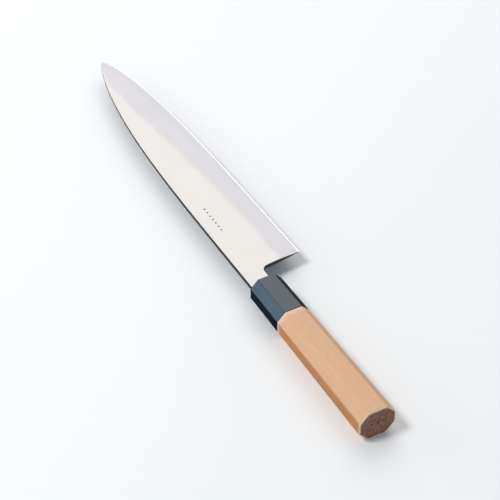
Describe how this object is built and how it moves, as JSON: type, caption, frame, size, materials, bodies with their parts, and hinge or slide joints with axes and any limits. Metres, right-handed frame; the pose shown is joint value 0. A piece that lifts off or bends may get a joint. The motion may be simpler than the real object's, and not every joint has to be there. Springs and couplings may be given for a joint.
{
  "type": "chef knife",
  "caption": "Chef knife with a laminated wide-bevel blade, a tang inside an octagonal wooden handle and a dark horn ferrule.",
  "frame": {"origin": "middle of the knife's outline, level with the lowest part of the handle, with the knife lying on its left side", "axes": "+X along the knife from the tip to the butt, +Y towards the cutting edge, +Z out of the right face of the blade"},
  "size_m": [0.408, 0.0506, 0.023],
  "materials": {
    "cladding_steel": "fine satin, warm white on the flat and cooler on the bevel",
    "edge_steel": "bright, polished at the edge",
    "horn": "polished black horn with faint streaks",
    "grip_wood": "unfinished, fine straight grain",
    "resin": "dark hard resin"
  },
  "bodies": {
    "root": {"cladding_right": "cladding_steel", "core_steel": "edge_steel", "cladding_left": "cladding_steel", "ferrule": "horn", "grip": "grip_wood", "mouth_seal": "resin"}
  },
  "joints": []
}
